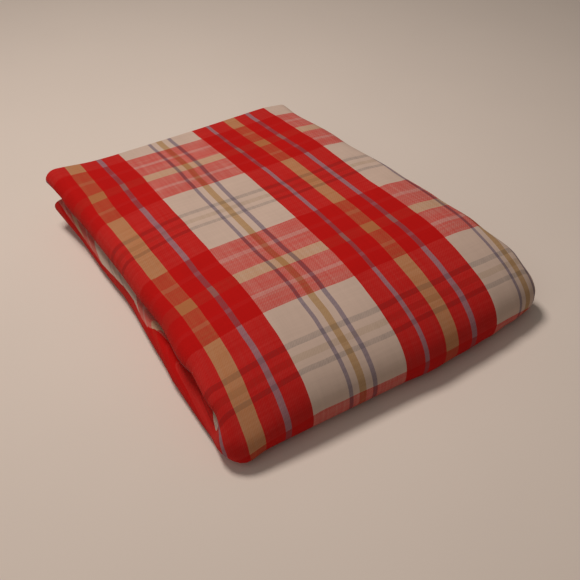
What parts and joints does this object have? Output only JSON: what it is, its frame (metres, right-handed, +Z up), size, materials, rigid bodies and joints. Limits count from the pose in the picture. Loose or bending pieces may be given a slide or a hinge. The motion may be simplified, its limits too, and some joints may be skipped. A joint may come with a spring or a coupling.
{
  "type": "folded bedspread",
  "caption": "Plaid cotton bedspread folded into a flat pack, with one big round fold in front and layered hems at the back.",
  "frame": {"origin": "on the surface that the pack rests on, under the middle of the pack", "axes": "+X to the right along the round front fold, +Y from the front fold to the back edges, +Z up"},
  "size_m": [0.308, 0.3618, 0.0646],
  "materials": {
    "woven_cotton": "yarn-dyed cotton twill, matt and slightly fuzzy, in red and cream checks with tan, ochre and blue stripes"
  },
  "bodies": {
    "root": {"bedspread_cloth": "woven_cotton"}
  },
  "joints": []
}
